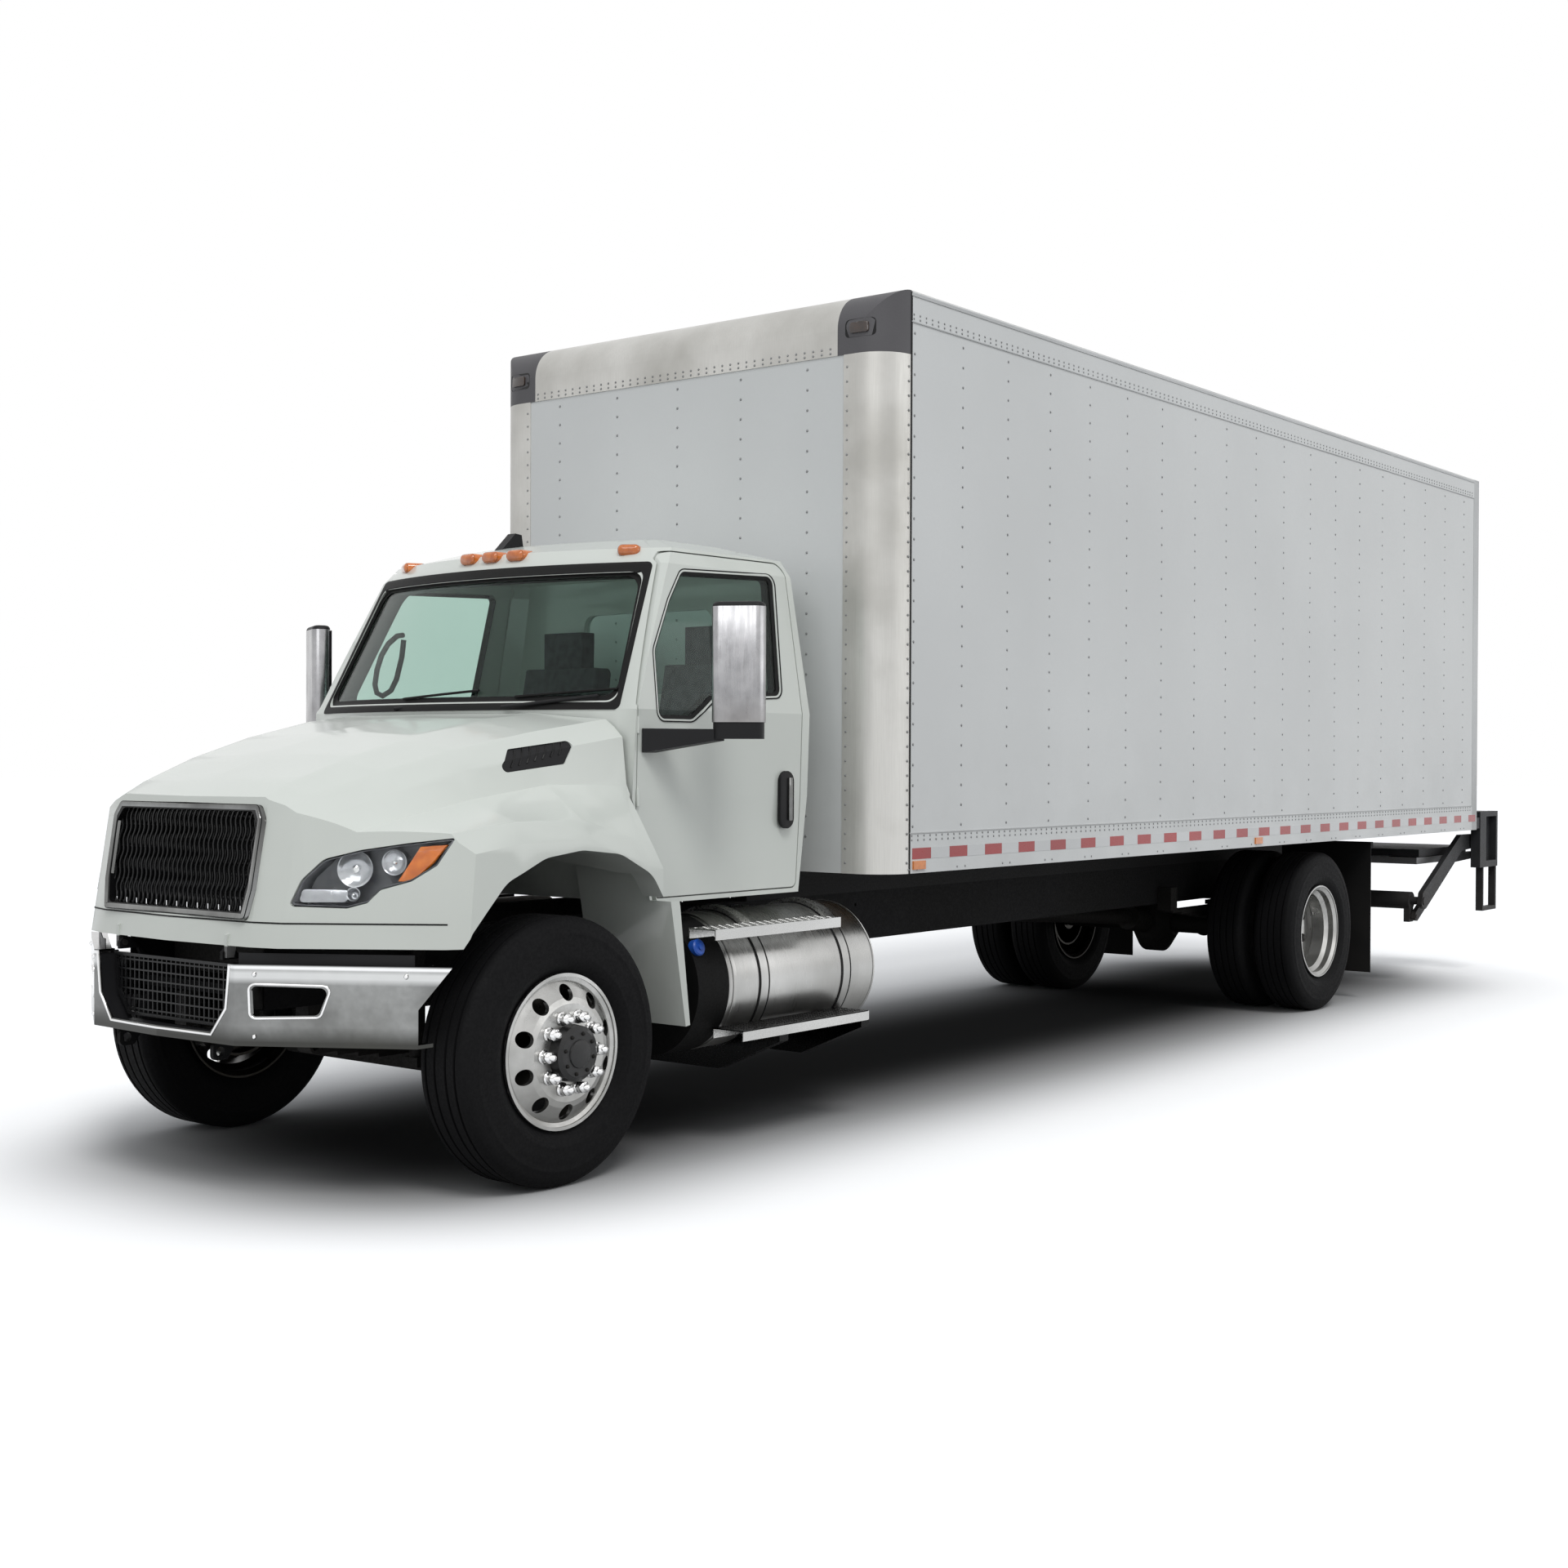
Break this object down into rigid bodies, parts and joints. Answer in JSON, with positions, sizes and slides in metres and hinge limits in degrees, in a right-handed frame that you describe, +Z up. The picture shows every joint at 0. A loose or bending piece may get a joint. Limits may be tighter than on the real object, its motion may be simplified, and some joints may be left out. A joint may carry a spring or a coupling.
{
  "type": "box truck",
  "caption": "Conventional-cab box truck with a long dry-freight body, opening doors, tilting hood, steering front wheels and a tuck-under lift gate.",
  "frame": {"origin": "on the ground at the middle of the overall length and width", "axes": "+X towards the front of the truck, +Y to its left side, +Z up"},
  "size_m": [11.43, 2.9182, 3.851],
  "materials": {
    "cab_paint": "aged gloss white",
    "panel_paint": "aged semi-gloss light grey",
    "bare_aluminium": "polished, weathered",
    "cap_casting": "dull grey",
    "chassis_black": "satin, road dirt",
    "bumper_chrome": "bright",
    "black_plastic": "moulded",
    "window_glass": "tinted",
    "lamp_lens": "clear",
    "amber_lens": "clear amber",
    "wheel_aluminium": "polished, dusty",
    "tank_aluminium": "spun",
    "tread_rubber": "matt",
    "flap_rubber": "matt",
    "interior_plastic": "grained",
    "seat_cloth": "woven",
    "iron": "greasy",
    "exhaust_steel": "heat-stained",
    "floor_wood": "laminated hardwood",
    "beam_steel": "dull",
    "frame_paint": "aged gloss",
    "gate_steel": "satin, rusted edges",
    "gate_aluminium": "extruded"
  },
  "bodies": {
    "chassis": {"battery_box": "chassis_black", "body_beams": "beam_steel", "body_caps": "cap_casting", "body_floor": "floor_wood", "body_front": "panel_paint", "body_lamps": "amber_lens", "body_nose": "bare_aluminium", "body_rear_frame": "frame_paint", "body_roof": "bare_aluminium", "body_side_left": "panel_paint", "body_side_right": "panel_paint", "body_sills": "beam_steel", "bumper_mesh": "black_plastic", "cab_glass": "window_glass", "cab_shell": "cab_paint", "cab_trim": "black_plastic", "dashboard": "interior_plastic", "def_tank": "chassis_black", "dock_steps": "gate_steel", "exhaust": "exhaust_steel", "frame_rails": "chassis_black", "front_axle": "iron", "front_bumper": "bumper_chrome", "fuel_tank": "tank_aluminium", "gate_frame": "gate_steel", "mudflaps": "flap_rubber", "powertrain": "iron", "rear_axle": "iron", "roll_door": "panel_paint", "seats": "seat_cloth", "splash_panels": "cab_paint", "tank_steps": "bare_aluminium"},
    "hood": {"hood": "cab_paint", "grille": "black_plastic", "headlamps": "lamp_lens", "hood_vents": "black_plastic"},
    "door_left": {"door_left": "cab_paint", "door_left_glass": "window_glass", "mirror_left": "black_plastic"},
    "door_right": {"door_right": "cab_paint", "door_right_glass": "window_glass", "mirror_right": "black_plastic"},
    "knuckle_left": {"knuckle_left": "iron"},
    "knuckle_right": {"knuckle_right": "iron"},
    "tie_rod": {"tie_rod": "iron"},
    "steering_wheel": {"steering_wheel": "interior_plastic"},
    "front_left_wheel": {"wheel_front_left": "wheel_aluminium", "tyre_front_left": "tread_rubber"},
    "front_right_wheel": {"wheel_front_right": "wheel_aluminium", "tyre_front_right": "tread_rubber"},
    "rear_left_wheels": {"wheel_rear_left": "wheel_aluminium", "tyre_rear_left": "tread_rubber"},
    "rear_right_wheels": {"wheel_rear_right": "wheel_aluminium", "tyre_rear_right": "tread_rubber"},
    "gate_arms": {"gate_arms": "gate_steel"},
    "gate_links": {"gate_links": "gate_steel"},
    "gate_deck": {"gate_platform": "gate_aluminium", "gate_flap": "gate_aluminium"}
  },
  "joints": [
    {"name": "hood_tilt", "type": "hinge", "parent": "chassis", "child": "hood", "pos_m": [5.64, 0, 0.935], "axis": [0, 1, 0], "range_deg": [0, 70]},
    {"name": "door_left_swing", "type": "hinge", "parent": "chassis", "child": "door_left", "pos_m": [4.143, 1.026, 1.5], "axis": [0, 0, -1], "range_deg": [0, 65]},
    {"name": "door_right_swing", "type": "hinge", "parent": "chassis", "child": "door_right", "pos_m": [4.143, -1.026, 1.5], "axis": [0, 0, 1], "range_deg": [0, 65]},
    {"name": "steer_left", "type": "hinge", "parent": "chassis", "child": "knuckle_left", "pos_m": [4.665, 0.85, 0.527], "axis": [0, 0, 1], "range_deg": [-35, 35]},
    {"name": "steer_right", "type": "hinge", "parent": "chassis", "child": "knuckle_right", "pos_m": [4.665, -0.85, 0.527], "axis": [0, 0, 1], "range_deg": [-35, 35]},
    {"name": "tie_rod_pivot", "type": "hinge", "parent": "knuckle_left", "child": "tie_rod", "pos_m": [4.475, 0.85, 0.428], "axis": [0, 0, 1], "range_deg": [-35, 35]},
    {"name": "steering_wheel_turn", "type": "hinge", "parent": "chassis", "child": "steering_wheel", "pos_m": [3.645, 0.47, 1.79], "axis": [-0.7398, 0, 0.6728], "range_deg": [-630, 630]},
    {"name": "front_left_spin", "type": "hinge", "parent": "knuckle_left", "child": "front_left_wheel", "pos_m": [4.665, 1.002, 0.527], "axis": [0, 1, 0], "continuous": true},
    {"name": "front_right_spin", "type": "hinge", "parent": "knuckle_right", "child": "front_right_wheel", "pos_m": [4.665, -1.002, 0.527], "axis": [0, 1, 0], "continuous": true},
    {"name": "rear_left_spin", "type": "hinge", "parent": "chassis", "child": "rear_left_wheels", "pos_m": [-2.365, 0.9335, 0.527], "axis": [0, 1, 0], "continuous": true},
    {"name": "rear_right_spin", "type": "hinge", "parent": "chassis", "child": "rear_right_wheels", "pos_m": [-2.365, -0.9335, 0.527], "axis": [0, 1, 0], "continuous": true},
    {"name": "gate_lift", "type": "hinge", "parent": "chassis", "child": "gate_arms", "pos_m": [-4.335, 1.184, 0.618], "axis": [0, -1, 0], "range_deg": [0, 38.5]},
    {"name": "gate_link_swing", "type": "hinge", "parent": "chassis", "child": "gate_links", "pos_m": [-4.335, 1.1285, 0.498], "axis": [0, -1, 0], "range_deg": [0, 38.5]},
    {"name": "gate_level", "type": "hinge", "parent": "gate_arms", "child": "gate_deck", "pos_m": [-5.575, 1.184, 1.04], "axis": [0, -1, 0], "range_deg": [-38.5, 0]}
  ],
  "couplings": [
    {"joint": "steer_right", "follows": "steer_left", "ratio": 1},
    {"joint": "tie_rod_pivot", "follows": "steer_left", "ratio": -1},
    {"joint": "steering_wheel_turn", "follows": "steer_left", "ratio": 18},
    {"joint": "gate_link_swing", "follows": "gate_lift", "ratio": 1},
    {"joint": "gate_level", "follows": "gate_lift", "ratio": -1}
  ]
}
